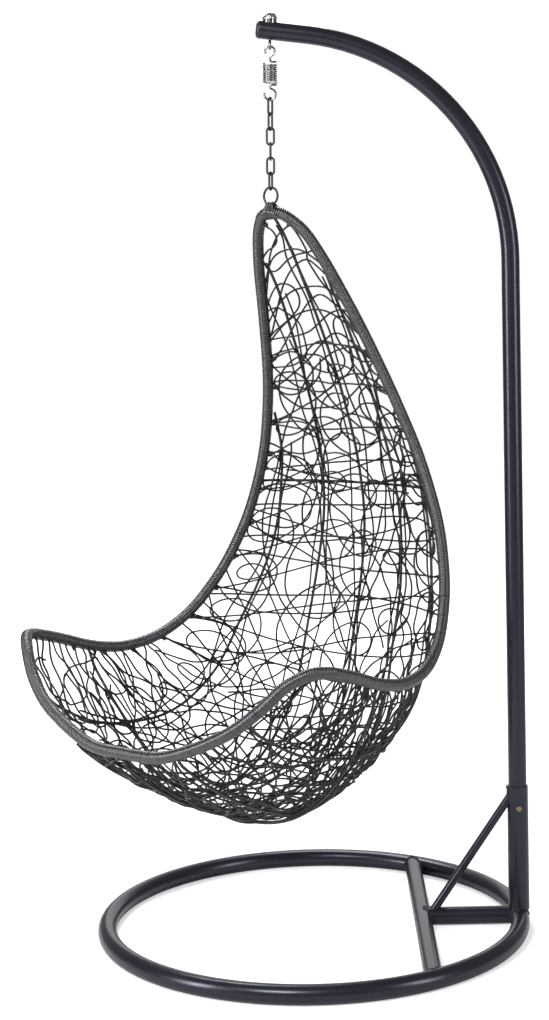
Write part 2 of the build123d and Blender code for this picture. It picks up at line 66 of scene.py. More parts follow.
# Strand wound round the rim and the ribs: its width along the core, and its thickness
rim_size = 0.0255
rim_pitch = 0.0045
rim_strand = (0.0066, 0.0032)
rib_size = 0.0070
rib_pitch = 0.0034
rib_strand = (0.0043, 0.0013)

# Bowl: places along a rail that belong to places down the middle, and its curve across
rail_marks = (0.0, 0.06, 0.48, 0.81, 0.96, 1.19, 1.29, 1.40, 1.49, 1.57, 1.61)
middle_marks = (0.0, 0.02, 0.43, 0.76, 0.90, 1.20, 1.38, 1.58, 1.83, 2.01, 2.045)
last_down = middle_marks[-1]
bowl_fullness = 2.3  # power of the curve: 2 is a parabola
shell_thickness = 0.0030
rib_gap = 0.0010  # from the ribs to the shell that carries the weave
shell_reach = 0.03  # how far to both sides the shell's wall is looked for
rail_share = 0.12  # share of the width over which the fit fades out at a rail

# Weave
strand_size = 0.0045
strand_step = 0.0065
route_step = 0.006
knot_spacing = 0.087
first_knot, knot_end = 0.06, 1.46  # along a rail
knot_in = 0.017  # from the rail to where two strands are tied
knot_turns = 2.4
knot_size = 0.0072
knot_points = 40
knot_step = 0.002
tail = 0.014  # how far apart a tied pair is at the rail
seat_from = 1.2  # where the bowl turns from the back to the seat
cell_size = 0.020  # cells in which the crowding of strands is counted
meeting, alongside = 0.5, 0.85  # weight of a strand met, and cosine of one beside
beside_rib = (-0.016, 0.019)  # where strands run beside a rib or a hoop
back_strands = 6  # twice as many are laid, straight and bowed
middle_strands = 12  # three times as many
seat_strands = 24
loose_ends = 16

# Lashing of the hanging ring
lash_size = 0.0036
lash_turns = 8
lash_points = 48  # of each turn
lash_narrow = 0.62  # its width at the ring, as a share of that at the rim
lash_lean = 0.0022
lash_round_ring = 0.0052  # radius of the turns round the ring's wire
lash_sunk = 0.42  # how deep it lies on the rim, as a share of its size
ring_wire = 0.0050

# Spring
spring_wire = 0.0045
coil_wire = 0.0032  # as wound
coil_turns = 8.6
coil_points = 400

# Weld beads
bead_radius = 0.0026
bead_step = 0.0022
tube_clear = 0.0004  # from a tube's wall to where its seam is looked for
floor_clear = 0.003  # no bead is laid lower
seam_points = 73

# Measuring of the frame's tubes and rods
march = 0.008  # from one measured place to the next
fine_step = 0.002  # between the points of a finished line
wall_reach = 0.95  # how far from its middle a tube's wall may be, in sizes
size_slack = 0.1  # how far off a measured size may be, in sizes
fewest_points = 8  # that a circle is fitted to
skew = (0.3, 0.5, 0.81)  # a direction that none of the lines has
grid_rows, grid_columns = 103, 61  # places where the bowl is measured, down and across

# ---- Node trees, written as sums


class Wire:
    """A node's output. Sums on it add Math nodes, or Vector Math where it carries a vector."""

    def __init__(self, graph, socket):
        self.graph = graph
        self.socket = socket

    def worked(self, operation, first, second):
        kind = "ShaderNodeMath"
        if self.socket.type == "VECTOR":
            kind = "ShaderNodeVectorMath"
            first, second = ((v, v, v) if isinstance(v, (int, float)) else v
                             for v in (first, second))
        return self.graph.add(kind, {"operation": operation}, {0: first, 1: second})

    def __add__(self, other):
        return self.worked("ADD", self, other)

    def __radd__(self, other):
        return self.worked("ADD", other, self)

    def __sub__(self, other):
        return self.worked("SUBTRACT", self, other)

    def __rsub__(self, other):
        return self.worked("SUBTRACT", other, self)

    def __mul__(self, other):
        return self.worked("MULTIPLY", self, other)

    def __rmul__(self, other):
        return self.worked("MULTIPLY", other, self)

    def __truediv__(self, other):
        return self.worked("DIVIDE", self, other)

    def __rtruediv__(self, other):
        return self.worked("DIVIDE", other, self)

    def through(self, operation):
        """This value through a Math node of its own, such as SINE or ROUND."""
        return self.graph.add("ShaderNodeMath", {"operation": operation}, {0: self})

    def clamped(self):
        return self.graph.add("ShaderNodeClamp", {}, {0: self})


class Graph:
    """Adds nodes to a tree."""

    def __init__(self, tree):
        self.tree = tree

    def node(self, kind, settings=None, inputs=None):
        """Makes a node: its settings first, then its sockets' values or links."""
        node = self.tree.nodes.new(kind)
        for name, value in (settings or {}).items():
            setattr(node, name, value)
        for key, value in (inputs or {}).items():
            socket = self.find(node.inputs, key)
            if isinstance(value, Wire):
                self.tree.links.new(value.socket, socket)
            else:
                socket.default_value = value
        return node

    def add(self, kind, settings=None, inputs=None, output=None):
        """Makes a node, and gives one of its outputs."""
        return Wire(self, self.find(self.node(kind, settings, inputs).outputs, output))

    def shape(self, kind, output=None, settings=None, **inputs):
        """Makes a geometry node, its kind given without the first word of its name."""
        inputs = {label.replace("_", " "): value for label, value in inputs.items()}
        return self.add("GeometryNode" + kind, settings, inputs, output)

    def noise(self, scale, detail=2.0, roughness=0.5):
        """Cloudy pattern from 0 to 1 over self.place, with scale in waves per metre."""
        return self.add("ShaderNodeTexNoise", {}, {
            "Vector": self.place, "Scale": scale, "Detail": detail, "Roughness": roughness}, "Fac")

    @staticmethod
    def find(sockets, key):
        """A socket by its place or its name, or the first one in use."""
        if isinstance(key, int):
            return sockets[key]
        return next(s for s in sockets if s.enabled and (key is None or s.name == key))


# ---- Materials


class Finish(Graph):
    """A material with one Principled shader, whose colour, roughness and bump are patterns."""

    def __init__(self, name, **fixed):
        self.material = bpy.data.materials.new(name)
        self.material.use_nodes = True
        super().__init__(self.material.node_tree)
        self.shader = self.tree.nodes["Principled BSDF"]
        for label, value in fixed.items():
            self.shader.inputs[label.replace("_", " ")].default_value = value
        self.place = self.add("ShaderNodeTexCoord", output="Object")

    def mix(self, factor, first, second):
        """Colour between two colours."""
        first, second = ((*colour, 1.0) if isinstance(colour, tuple) else colour
                         for colour in (first, second))
        return self.add("ShaderNodeMix", {"data_type": "RGBA"},
                        {"Factor": factor, "A": first, "B": second}, "Result")

    def attribute(self, name):
        return self.add("ShaderNodeAttribute", {"attribute_name": name}, {}, "Fac")

    def set(self, **sockets):
        """Links patterns to the shader's sockets."""
        for label, wire in sockets.items():
            self.tree.links.new(wire.socket, self.shader.inputs[label.replace("_", " ")])

    def bump(self, height, depth):
        """Relief: height runs from 0 to 1, depth is in metres."""
        self.set(Normal=self.add("ShaderNodeBump", {}, {
            "Height": height, "Distance": depth, "Strength": 1.0}))


def powder_coat():
    """Satin anthracite powder coat, with fine orange peel and a soft blue cast."""
    paint = Finish("powder_coat", Specular_IOR_Level=0.5, Specular_Tint=(0.82, 0.82, 1.0, 1.0))
    cloud = paint.noise(9.0, 3.0)
    grain = paint.noise(900.0, 2.0)
    dust = paint.noise(160.0, 4.0, 0.7)
    colour = paint.mix(cloud, (0.0062, 0.0062, 0.0100), (0.0105, 0.0105, 0.0165))
    colour = paint.mix((dust - 0.55).clamped() * 0.6, colour, (0.022, 0.022, 0.030))
    paint.set(Base_Color=colour, Roughness=0.20 + cloud * 0.08 + grain * 0.08)
    paint.bump(grain * 0.5 + paint.noise(320.0, 1.0) * 0.5, 0.00005)
    return paint.material


def moulded_plastic():
    """Black moulded plastic with a fine matt grain."""
    plastic = Finish("moulded_plastic", Specular_IOR_Level=0.45)
    grain = plastic.noise(1400.0, 3.0, 0.6)
    cloud = plastic.noise(60.0, 2.0)
    plastic.set(Base_Color=plastic.mix(cloud, (0.009, 0.009, 0.012), (0.016, 0.016, 0.019)),
                Roughness=0.30 + grain * 0.15)
    plastic.bump(grain, 0.00005)
    return plastic.material


def brass():
    """Yellow-passivated screw."""
    metal = Finish("brass_screw", Metallic=1.0)
    cloud = metal.noise(400.0, 4.0, 0.6)
    metal.set(Base_Color=metal.mix(cloud, (0.16, 0.11, 0.06), (0.48, 0.36, 0.24)),
              Roughness=0.26 + cloud * 0.22)
    metal.bump(metal.noise(1500.0, 3.0), 0.00003)
    return metal.material


def zinc():
    """Bright zinc plate: clouded, with faint drawing lines."""
    metal = Finish("zinc_plate", Metallic=1.0)
    cloud = metal.noise(260.0, 5.0, 0.6)
    fleck = metal.noise(1300.0, 3.0, 0.7)
    tint = metal.noise(120.0, 2.0)
    colour = metal.mix(cloud, (0.10, 0.10, 0.105), (0.27, 0.27, 0.28))
    colour = metal.mix(tint * 0.35, colour, (0.40, 0.39, 0.36))
    metal.set(Base_Color=colour, Roughness=0.10 + cloud * 0.12)
    metal.bump(fleck, 0.00002)
    return metal.material


def chrome():
    """Polished dome nut, with small marks from the spanner."""
    metal = Finish("chrome_dome", Metallic=1.0)
    mark = metal.noise(700.0, 6.0, 0.75)
    cloud = metal.noise(190.0, 3.0)
    metal.set(Base_Color=metal.mix(mark, (0.22, 0.22, 0.23), (0.85, 0.85, 0.86)),
              Roughness=0.07 + mark * 0.16)
    metal.bump(mark + cloud, 0.0006)
    return metal.material


def chain_black():
    """Black oxide on welded chain, rubbed a little brighter in places."""
    metal = Finish("chain_black", Specular_IOR_Level=0.6)
    cloud = metal.noise(180.0, 4.0, 0.6)
    rub = (metal.noise(420.0, 3.0) - 0.56).clamped() * 4.0
    colour = metal.mix(cloud, (0.0066, 0.0066, 0.0077), (0.0143, 0.0149, 0.0165))
    colour = metal.mix(rub.clamped() * 0.5, colour, (0.0605, 0.0605, 0.066))
    metal.set(Base_Color=colour, Metallic=0.15 + rub.clamped() * 0.5, Roughness=0.30 + cloud * 0.22)
    metal.bump(metal.noise(1100.0, 3.0, 0.65), 0.00006)
    return metal.material


def strand(name, dark, light, gloss, shade, wound, shine, coat=0.0):
    """Extruded strand: each turn or run has its own tone, with fine lines and a waxy sheen.

    The tone counts for a share of the colour, and a wound strand has painted shade where its turns
    meet, on the low sides of each turn's section.
    """
    cord = Finish(name, Specular_IOR_Level=shine, Coat_Weight=coat, Coat_Roughness=0.22)
    tone = cord.attribute("shade")
    cloud = cord.noise(28.0, 2.0)
    line = cord.noise(2600.0, 2.0, 0.6)
    colour = cord.mix((tone * shade + cloud * (1.0 - shade)).clamped(), dark, light)
    if wound:
        # painted shade: where the turns meet (low crown), the colour goes to a quarter of the dark
        # tone
        painted_groove_shade = (18.0 - cord.attribute("crown") * 20.0).clamped()
        colour = cord.mix(painted_groove_shade, colour, tuple(x * 0.25 for x in dark))
    cord.set(Base_Color=colour, Roughness=gloss + tone * 0.12 + cloud * 0.08)
    cord.bump(line, 0.00004)
    return cord.material


finishes = {
    "frame_paint": powder_coat(),
    "cap_plastic": moulded_plastic(),
    "screw_brass": brass(),
    "bright_zinc": zinc(),
    "bright_chrome": chrome(),
    "chain_black": chain_black(),
    "rim_strand": strand("rim_strand", (0.006, 0.007, 0.009), (0.030, 0.034, 0.041),
                         gloss=0.20, shade=0.45, wound=True, shine=0.7, coat=0.4),
    "rim_lashing": strand("rim_lashing", (0.010, 0.012, 0.015), (0.044, 0.050, 0.058),
                          gloss=0.20, shade=0.6, wound=False, shine=1.0, coat=0.4),
    "rib_paint": strand("rib_strand", (0.006, 0.007, 0.009), (0.034, 0.037, 0.043),
                        gloss=0.24, shade=0.7, wound=True, shine=0.5),
    "weave_strand": strand("weave_strand", (0.003, 0.0033, 0.0042), (0.018, 0.019, 0.023),
                           gloss=0.26, shade=0.6, wound=False, shine=0.32),
}

for subpart in frame["record"]["subparts"]:
    node = nodes[subpart["node"]]
    node.data.materials.clear()
    node.data.materials.append(finishes[subpart["material_slot"]])
nodes["saddle_washer"].data.materials[0] = finishes["bright_zinc"]

# ---- Lines read from the frame's tubes and rods


def node_triangles(name):
    """Corners of a CAD node's triangles, as an array of n x 3 points."""
    mesh = nodes[name].data
    mesh.calc_loop_triangles()
    corners = np.empty(len(mesh.vertices) * 3, np.float32)
    mesh.vertices.foreach_get("co", corners)
    indices = np.empty(len(mesh.loop_triangles) * 3, np.int32)
    mesh.loop_triangles.foreach_get("vertices", indices)
    return corners.reshape(-1, 3).astype(float)[indices.reshape(-1, 3)]


def unit(vectors):
    """The same directions, each with length 1."""
    return vectors / np.maximum(np.linalg.norm(vectors, axis=-1, keepdims=True), 1e-9)


def plane_cut(triangles, point, way, reach):
    """Points where a plane crosses the triangles' edges, within reach of a point."""
    height = (triangles - point) @ way
    crossed = (height.min(1) < 0) & (height.max(1) >= 0)
    height = height[crossed]
    corner = triangles[crossed]
    found = []
    for a, b in ((0, 1), (1, 2), (2, 0)):
        hit = (height[:, a] < 0) != (height[:, b] < 0)
        share = height[hit, a] / (height[hit, a] - height[hit, b])
        found.append(corner[hit, a] + share[:, None] * (corner[hit, b] - corner[hit, a]))
    found = np.concatenate(found)
    return found[np.linalg.norm(found - point, axis=1) < reach]


def round_middle(points, way):
    """Middle and radius of the circle through points in a plane square to way."""
    side = unit(np.cross(way, skew))
    over = np.cross(way, side)
    mean = points.mean(0)
    far = np.linalg.norm(points - mean, axis=1)
    points = points[far > 0.8 * far.max()]  # the outer wall's points alone
    x = (points - mean) @ side
    y = (points - mean) @ over
    answer = np.linalg.lstsq(np.c_[2 * x, 2 * y, np.ones(len(x))], x**2 + y**2, rcond=None)[0]
    radius = math.sqrt(answer[2] + answer[0] ** 2 + answer[1] ** 2)
    return mean + side * answer[0] + over * answer[1], radius


def tube_line(triangles, start, way, size, closed=False):
    """Centreline of a round tube or rod, followed from a start near it."""
    line = []
    guess = np.array(start, float)
    way = unit(np.array(way, float))
    while True:
        points = plane_cut(triangles, guess, way, wall_reach * size)
        if len(points) < fewest_points:
            break
        middle, radius = round_middle(points, way)
        if abs(radius - size / 2) > size_slack * size:
            break
        if closed and len(line) > 2 and np.linalg.norm(middle - line[0]) < march:
            break
        line.append(middle)
        if len(line) > 1:
            way = unit(line[-1] - line[-2])
        guess = middle + way * march
    return np.array(line)


def smooth_line(points, spacing, closed=False):
    """The same line with closer points, on a smooth curve through them."""
    if closed:
        padded = np.vstack([points[-1], points, points[:2]])
    else:
        padded = np.vstack([2 * points[0] - points[1], points, 2 * points[-1] - points[-2]])
    parts = []
    for a, b, c, d in zip(padded, padded[1:], padded[2:], padded[3:]):
        steps = max(1, round(np.linalg.norm(c - b) / spacing))
        t = (np.arange(steps) / steps)[:, None]
        parts.append(b + (c - a) * (t / 2) + (a - 2.5 * b + 2 * c - 0.5 * d) * t**2
                     + (1.5 * (b - c) + 0.5 * (d - a)) * t**3)
    if not closed:
        parts.append(points[-1:])
    return np.concatenate(parts)


def lengths(line):
    """Distance along a line at each of its points."""
    return np.r_[0.0, np.cumsum(np.linalg.norm(np.diff(line, axis=0), axis=1))]


def along(line, distance):
    """Points of a line at the given distances along it."""
    run = lengths(line)
    return np.stack([np.interp(distance, run, line[:, k]) for k in range(3)], axis=-1)


def run_to_ends(line, corners):
    """A line run on straight at both ends, as far as the rod's own corners go."""
    ends = []
    for end, way in ((line[0], unit(line[0] - line[3])), (line[-1], unit(line[-1] - line[-4]))):
        near = corners[np.linalg.norm(corners - end, axis=1) < 3 * march]
        ends.append(end + way * max(0.001, ((near - end) @ way).max()))
    return np.vstack([ends[0], line, ends[1]])


def eased(line):
    """A line without the small unevenness of its measuring."""
    middle = (line[:-2] + 2 * line[1:-1] + line[2:]) / 4
    return np.vstack([line[:1], middle, line[-1:]])


# The chair's own directions: to the left across the basket, and up
left_rib, right_rib = (node_triangles(name).reshape(-1, 3).mean(0)
                       for name in ("outer_rib_left", "outer_rib_right"))
sideways = unit((left_rib - right_rib) * (1, 1, 0))
up = np.array((0.0, 0.0, 1.0))

wrap_corners = node_triangles("rim_wrap").reshape(-1, 3)
rim_apex = wrap_corners[wrap_corners[:, 2].argmax()] - up * rim_size / 2
rim_line = tube_line(node_triangles("rim_wrap"), rim_apex, sideways, rim_size, closed=True)
rim_line = smooth_line(rim_line, fine_step, closed=True)


def rod_line(name, axis, share):
    """Centreline of a rod, followed both ways from a plane square to the axis."""
    triangles = node_triangles(name)
    corners = triangles.reshape(-1, 3)
    height = corners @ axis
    level = height.max() - share * np.ptp(height)
    first, second = (plane_cut(triangles, axis * place, axis, np.inf).mean(0)
                     for place in (level, level - march / 2))
    way = unit(second - first)
    behind = tube_line(triangles, first, -way, rib_size)
    ahead = tube_line(triangles, first, way, rib_size)
    line = eased(np.vstack([behind[:0:-1], ahead]))
    return smooth_line(run_to_ends(line, corners), fine_step)


ribs = ("centre_rib", "inner_rib_left", "inner_rib_right", "outer_rib_left", "outer_rib_right")
rod_lines = {name: rod_line(name, up, 0.25) for name in ribs}
rod_lines.update({name: rod_line(name, sideways, 0.5) for name in ("back_hoop", "seat_hoop")})

# ---- Geometry that follows a line


def new_shape(name, sizes, counts):
    """Node tree with named sizes and whole numbers. Gives its graph and its inputs."""
    tree = bpy.data.node_groups.new(name, "GeometryNodeTree")
    kinds = {"Geometry": "Geometry", **dict.fromkeys(sizes, "Float"),
             **dict.fromkeys(counts, "Int"), "Material": "Material"}
    for label, kind in kinds.items():
        tree.interface.new_socket(label, in_out="INPUT", socket_type="NodeSocket" + kind)
    tree.interface.new_socket("Geometry", in_out="OUTPUT", socket_type="NodeSocketGeometry")
    graph = Graph(tree)
    given = graph.node("NodeGroupInput").outputs
    return graph, {socket.name: Wire(graph, socket) for socket in given if socket.name}


def finish_shape(graph, geometry, given):
    """Ends a tree: plain smooth mesh with its material."""
    smooth = graph.shape("SetShadeSmooth", Geometry=geometry)
    real = graph.shape("RealizeInstances", Geometry=smooth)
    painted = graph.shape("SetMaterial", Geometry=real, Material=given["Material"])
    graph.node("NodeGroupOutput", {}, {0: painted})
    return graph.tree


def stored(graph, geometry, name, value, kind="FLOAT"):
    return graph.shape("StoreNamedAttribute", None, {"data_type": kind, "domain": "POINT"},
                       Geometry=geometry, Name=name, Value=value)


def wound_shape():
    """Strand wound in touching turns round a line."""
    graph, given = new_shape(
        "wound_strand", ("Core Radius", "Strand Width", "Strand Thickness", "Pitch", "Unevenness",
                         "Wobble"), ("Points per Turn", "Strand Sides"))
    full = graph.shape("CurveLength", Curve=given["Geometry"])
    turns = (full / given["Pitch"]).through("ROUND")
    count = (turns * given["Points per Turn"]).through("ROUND")
    line = graph.shape("ResampleCurve", None, {"mode": "COUNT"},
                       Curve=given["Geometry"], Count=count)
    graph.place = graph.shape("InputPosition")
    share = graph.shape("SplineParameter", "Factor")
    turn = share * turns + (graph.noise(22.0) - 0.5) * given["Unevenness"]
    angle = turn * (2 * math.pi)
    normal = graph.shape("InputNormal", "Normal")
    tangent = graph.shape("InputTangent")
    side = graph.add("ShaderNodeVectorMath", {"operation": "CROSS_PRODUCT"},
                     {0: tangent, 1: normal})
    outward = normal * angle.through("COSINE") + side * angle.through("SINE")
    wave = graph.add("ShaderNodeTexNoise", {"noise_dimensions": "1D"},
                     {"W": turn * 0.8, "Scale": 1.0}, "Fac")
    radius = (given["Core Radius"] + given["Strand Thickness"] * 0.5
              + (wave - 0.5) * given["Wobble"] * 2.0)
    line = stored(graph, line, "outward", outward, "FLOAT_VECTOR")
    line = stored(graph, line, "shade", (wave * 2.0 - 0.5).clamped())
    away = graph.shape("InputNamedAttribute", "Attribute", {"data_type": "FLOAT_VECTOR"},
                       Name="outward")
    line = graph.shape("SetPosition", Geometry=line, Offset=away * radius)
    line = graph.shape("SetCurveNormal", None, {"mode": "FREE"}, Curve=line, Normal=away)

    # Section with a side outward, its height from 0 to 1 stored for the painted shade between
    # turns, then brought to size
    section = graph.shape("CurvePrimitiveCircle", "Curve", {"mode": "RADIUS"},
                          Resolution=given["Strand Sides"], Radius=0.5)
    half_side = graph.add("ShaderNodeCombineXYZ", {}, {"Z": math.pi / given["Strand Sides"]})
    section = graph.shape("Transform", Geometry=section, Rotation=half_side)
    height = graph.add("ShaderNodeSeparateXYZ", {}, {0: graph.place}, "X")
    section = stored(graph, section, "crown", height + 0.5)
    flat = graph.add("ShaderNodeCombineXYZ", {}, {
        "X": given["Strand Thickness"], "Y": given["Strand Width"], "Z": 1.0})
    section = graph.shape("Transform", Geometry=section, Scale=flat)
    mesh = graph.shape("CurveToMesh", Curve=line, Profile_Curve=section, Fill_Caps=True)
    mesh = graph.shape("RemoveAttribute", Geometry=mesh, Name="outward")
    return finish_shape(graph, mesh, given)


def strand_shape():
    """Round strand or wire along each line, a little uneven in size, with its own tone."""
    graph, given = new_shape("laid_strand", ("Radius", "Step", "Unevenness"), ("Sides",))
    line = graph.shape("ResampleCurve", None, {"mode": "LENGTH"},
                       Curve=given["Geometry"], Length=given["Step"])
    graph.place = graph.shape("InputPosition")
    swell = graph.noise(60.0, 1.0)
    tone = graph.add("ShaderNodeTexNoise", {"noise_dimensions": "4D"},
                     {"Vector": graph.place, "Scale": 14.0}, "Fac")
    line = stored(graph, line, "shade", (tone * 1.8 - 0.4).clamped())
    radius = given["Radius"] * (1.0 + (swell - 0.5) * given["Unevenness"] * 2.0)
    section = graph.shape("CurvePrimitiveCircle", "Curve", {"mode": "RADIUS"},
                          Resolution=given["Sides"], Radius=1.0)
    mesh = graph.shape("CurveToMesh", Curve=line, Profile_Curve=section, Scale=radius,
                       Fill_Caps=True)
    return finish_shape(graph, mesh, given)


def placed(name, data):
    """New object in the scene."""
    thing = bpy.data.objects.new(name, data)
    bpy.context.scene.collection.objects.link(thing)
    return thing


def grown(name, lines, tree, closed=False, **sizes):
    """Object whose mesh is what a node tree makes along the lines."""
    curve = bpy.data.curves.new(name, "CURVE")
    curve.dimensions = "3D"
    for line in lines:
        spline = curve.splines.new("POLY")
        spline.points.add(len(line) - 1)
        spline.points.foreach_set("co", np.c_[line, np.ones(len(line))].ravel())
        spline.use_cyclic_u = closed
    guide = placed(name + "_guide", curve)
    modifier = guide.modifiers.new("shape", "NODES")
    modifier.node_group = tree
    identifiers = {item.name: item.identifier for item in tree.interface.items_tree
                   if item.in_out == "INPUT"}
    for label, value in sizes.items():
        modifier[identifiers[label.replace("_", " ")]] = value
    bpy.context.view_layer.update()
    depsgraph = bpy.context.evaluated_depsgraph_get()
    mesh = bpy.data.meshes.new_from_object(
        guide.evaluated_get(depsgraph), preserve_all_data_layers=True, depsgraph=depsgraph)
    bpy.data.objects.remove(guide)
    bpy.data.curves.remove(curve)
    mesh.name = name
    return placed(name, mesh)


def halves(piece, names):
    """Splits a long piece into equal lengths, each an object of its own."""
    faces = len(piece.data.polygons)
    parts = []
    for n, name in enumerate(names):
        first, last = (faces * end // len(names) for end in (n, n + 1))
        part = placed(name, piece.data.copy())
        shape = bmesh.new()
        shape.from_mesh(part.data)
        gone = [face for k, face in enumerate(shape.faces) if not first <= k < last]
        bmesh.ops.delete(shape, geom=gone, context="FACES")
        shape.to_mesh(part.data)
        shape.free()
        parts.append(part)
    bpy.data.objects.remove(piece)
    return parts


wound = wound_shape()
laid = strand_shape()

# ---- Rim and ribs, wound with strand
rim_winding = grown("rim_winding", [rim_line], wound, closed=True,
                    Core_Radius=rim_size / 2 - rim_strand[1], Strand_Width=rim_strand[0],
                    Strand_Thickness=rim_strand[1], Pitch=rim_pitch, Points_per_Turn=18,
                    Strand_Sides=6, Unevenness=1.6, Wobble=0.00055,
                    Material=finishes["rim_strand"])
for piece in halves(rim_winding, ("rim_winding_left", "rim_winding_right")):
    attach(piece, "basket")
    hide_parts("rim_wrap")

for name, line in rod_lines.items():
    piece = grown(name + "_winding", [line], wound, Core_Radius=rib_size / 2 - rib_strand[1],
                  Strand_Width=rib_strand[0], Strand_Thickness=rib_strand[1], Pitch=rib_pitch,
                  Points_per_Turn=10, Strand_Sides=5, Unevenness=1.0, Wobble=0.0002,
                  Material=finishes["rib_paint"])
    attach(piece, "basket")
    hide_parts(name)

# ---- The bowl's surface: share across from -1 to 1, and distance down the middle
left_rail = rim_line
right_rail = np.vstack([rim_line[:1], rim_line[:0:-1]])


def solid_tree(triangles):
    """Triangles in which a ray or the nearest point can be looked up."""
    return BVHTree.FromPolygons(triangles.reshape(-1, 3).tolist(),
                                np.arange(len(triangles) * 3).reshape(-1, 3).tolist())


shell = solid_tree(node_triangles("woven_bowl"))


def smooth_marks(x, known, values):
    """Smooth rising value between marks."""
    known = np.array(known)
    values = np.array(values)
    slopes = np.gradient(values, known)
    n = np.clip(np.searchsorted(known, x, side="right") - 1, 0, len(known) - 2)
    width = known[n + 1] - known[n]
    t = (x - known[n]) / width
    return (values[n] * (1 + 2 * t) * (1 - t) ** 2 + slopes[n] * width * t * (1 - t) ** 2
            + values[n + 1] * t**2 * (3 - 2 * t) + slopes[n + 1] * width * t**2 * (t - 1))


# Middle of the bowl: beside the centre rib, on the inner side
centre_line = rod_lines["centre_rib"]
centre_in = unit(np.cross(np.gradient(centre_line, axis=0), sideways))
upper = len(centre_line) // 4
if centre_in[upper] @ (rim_line.mean(0) - centre_line[upper]) < 0:
    centre_in = -centre_in
middle_line = centre_line + centre_in * (rib_size / 2 + rib_gap + shell_thickness / 2)


def plain_bowl(across, down):
    """Point of the bowl before it is fitted to the shell."""
    rail = smooth_marks(down, middle_marks, rail_marks)
    left = along(left_rail, rail)
    right = along(right_rail, rail)
    middle = along(middle_line, down)
    across = np.asarray(across)[..., None]
    return (middle + (left - right) / 2 * across
            + ((left + right) / 2 - middle) * np.abs(across) ** bowl_fullness)


def plain_normal(across, down):
    """Outward direction of the plain bowl."""
    step = 0.01
    over = (plain_bowl(np.minimum(across + step, 1), down)
            - plain_bowl(np.maximum(across - step, -1), down))
    ahead = (plain_bowl(across, np.minimum(down + step, last_down))
             - plain_bowl(across, np.maximum(down - step, 0)))
    return unit(np.cross(ahead, over))


grid_down = np.linspace(0.0, last_down, grid_rows)
grid_across = np.linspace(-1, 1, grid_columns)
mesh_down, mesh_across = np.meshgrid(grid_down, grid_across, indexing="ij")
grid_points = plain_bowl(mesh_across, mesh_down)
grid_normals = plain_normal(mesh_across, mesh_down)
middle = grid_rows // 2, grid_columns // 2
if (grid_points[middle] - rim_line.mean(0)) @ grid_normals[middle] < 0:
    grid_normals = -grid_normals


def shell_offset(point, normal):
    """Distance along the normal from a point to the middle of the CAD shell's wall, or none."""
    first, second = (
        shell.ray_cast(Vector(point - way * shell_reach), Vector(way), 2 * shell_reach)[3]
        for way in (normal, -normal))
    return np.nan if first is None or second is None else (first - second) / 2


grid_offset = np.array([[shell_offset(p, n) for p, n in zip(row, ways)]
                        for row, ways in zip(grid_points, grid_normals)])


def filled(values):
    """A grid whose empty places take their row's values, or else those of the rows beside."""
    values = values.copy()
    for line in (*values, *values.T):
        known = np.flatnonzero(~np.isnan(line))
        if len(known):
            line[:] = np.interp(np.arange(len(line)), known, line[known])
    return values


grid_offset = filled(grid_offset) * np.clip((1 - np.abs(grid_across)) / rail_share, 0, 1)

section_run = np.linalg.norm(np.diff(grid_points, axis=1), axis=2)
section_run = np.c_[np.zeros(grid_rows), np.cumsum(section_run, axis=1)]
half_width = section_run[:, -1] / 2
share_run = section_run / section_run[:, -1:] * 2 - 1
across_table = np.array([np.interp(grid_across, row, grid_across) for row in share_run])


def looked_up(table, rows, columns):
    """Value of a table between its rows and columns."""
    rows = np.clip(rows, 0, table.shape[0] - 1.001)
    columns = np.clip(columns, 0, table.shape[1] - 1.001)
    r, c = rows.astype(int), columns.astype(int)
    u, v = rows - r, columns - c
    if table.ndim == 3:
        u, v = u[:, None], v[:, None]
    return ((table[r, c] * (1 - v) + table[r, c + 1] * v) * (1 - u)
            + (table[r + 1, c] * (1 - v) + table[r + 1, c + 1] * v) * u)


def bowl(share, down, out):
    """Points of the bowl at a share of the run across, a distance down, and one outward."""
    down = np.clip(down, 0.0, last_down)
    share = np.clip(share, -1.0, 1.0)
    row = down / last_down * (grid_rows - 1)
    across = looked_up(across_table, row, (share + 1) / 2 * (grid_columns - 1))
    column = (across + 1) / 2 * (grid_columns - 1)
    normal = looked_up(grid_normals, row, column)
    shift = looked_up(grid_offset, row, column) + out
    return plain_bowl(across, down) + normal * shift[:, None]


def width_at(down):
    """Half of the run across the bowl, from its middle to a rail."""
    return np.interp(down, grid_down, half_width)


# ---- Weave: routes over the bowl, given by their distance from the middle and down
chance = np.random.default_rng(11)
strands = {"crossing": [], "looped": [], "beside_ribs": [], "seat": [], "knots": []}
knot_places = smooth_marks(np.arange(first_knot, knot_end, knot_spacing), rail_marks, middle_marks)
ground = {}  # directions of the strands that pass through each small cell


def cells_and_ways(line):
    """Small cells that a line passes through, and its direction in each."""
    cells = [tuple(cell) for cell in np.floor(line / cell_size).astype(int)]
    return cells, unit(np.gradient(line, axis=0))


def crowding(line):
    """How much of a line runs beside others, and how many it meets."""
    total = 0.0
    cells, ways = cells_and_ways(line)
    for cell, way in zip(cells, ways):
        met = ground.get(cell)
        if met:
            total += meeting * len(met) + sum(abs(way @ other) > alongside for other in met)
    return total / len(cells)


def lay(kind, line):
    """Adds a strand, and marks where it passes."""
    strands[kind].append(line)
    cells, ways = cells_and_ways(line)
    last = None
    for cell, way in zip(cells, ways):
        if cell != last:
            ground.setdefault(cell, []).append(way)
        last = cell


def lay_best(kind, tries, make):
    """Adds the least crowded of several strands."""
    lines = [line for line in (make() for _ in range(tries)) if line is not None]
    if lines:
        lay(kind, min(lines, key=crowding))


